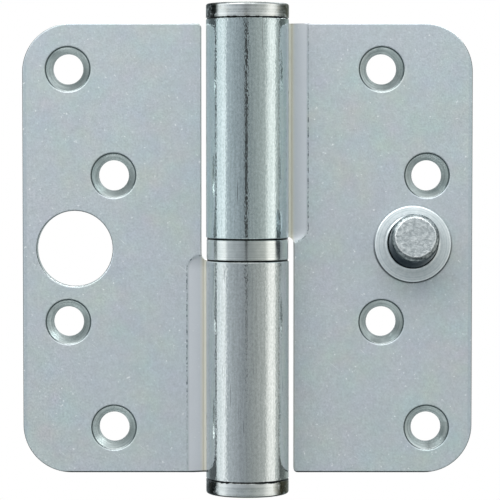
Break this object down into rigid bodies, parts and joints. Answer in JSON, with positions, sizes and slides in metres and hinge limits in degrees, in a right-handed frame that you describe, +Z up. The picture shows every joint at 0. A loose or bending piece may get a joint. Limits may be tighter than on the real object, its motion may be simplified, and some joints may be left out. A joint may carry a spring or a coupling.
{
  "type": "lift-off hinge",
  "caption": "Steel lift-off door hinge with two rounded square leaves, rolled knuckles on a pin, a ball bearing between them and a security stud.",
  "frame": {"origin": "on the pin's axis, halfway between the ends of the two caps, which is also the centre of the opened hinge's box", "axes": "+Z up the pin, +X from the pin towards the door leaf, -Y out of the countersunk faces, towards a person facing the opened hinge"},
  "size_m": [0.089, 0.0162, 0.0964],
  "materials": {
    "zinc_plated_leaf": "blue-passivated zinc plating on pressed sheet, fine matte grain",
    "ground_pin": "ground and lightly oiled steel",
    "turned_cap": "zinc plating on turned steel, glossier than the leaves",
    "turned_stud": "zinc plating on a turned and riveted stud",
    "bearing_steel": "bright zinc plating on drawn steel",
    "nylon_cage": "natural moulded nylon",
    "ball_steel": "polished bearing balls"
  },
  "bodies": {
    "frame_side": {"frame_leaf": "zinc_plated_leaf", "hinge_pin": "ground_pin", "bottom_cap": "turned_cap", "bearing_shell": "bearing_steel", "bearing_lower_race": "bearing_steel"},
    "bearing_top": {"bearing_upper_race": "bearing_steel"},
    "ball_set": {"ball_cage": "nylon_cage", "ball_01": "ball_steel", "ball_02": "ball_steel", "ball_03": "ball_steel", "ball_04": "ball_steel", "ball_05": "ball_steel", "ball_06": "ball_steel", "ball_07": "ball_steel", "ball_08": "ball_steel", "ball_09": "ball_steel", "ball_10": "ball_steel", "ball_11": "ball_steel", "ball_12": "ball_steel"},
    "door_side": {"door_leaf": "zinc_plated_leaf", "top_cap": "turned_cap", "security_stud": "turned_stud"}
  },
  "joints": [
    {"name": "leaf_swing", "type": "hinge", "parent": "frame_side", "child": "bearing_top", "pos_m": [0, 0, 0], "axis": [0, 0, -1], "range_deg": [-95, 180]},
    {"name": "leaf_lift", "type": "slide", "parent": "bearing_top", "child": "door_side", "axis": [0, 0, 1], "range_m": [0, 0.052]},
    {"name": "cage_turn", "type": "hinge", "parent": "frame_side", "child": "ball_set", "pos_m": [0, 0, 0], "axis": [0, 0, -1], "range_deg": [-47.5, 90]}
  ],
  "couplings": [
    {"joint": "cage_turn", "follows": "leaf_swing", "ratio": 0.5}
  ]
}
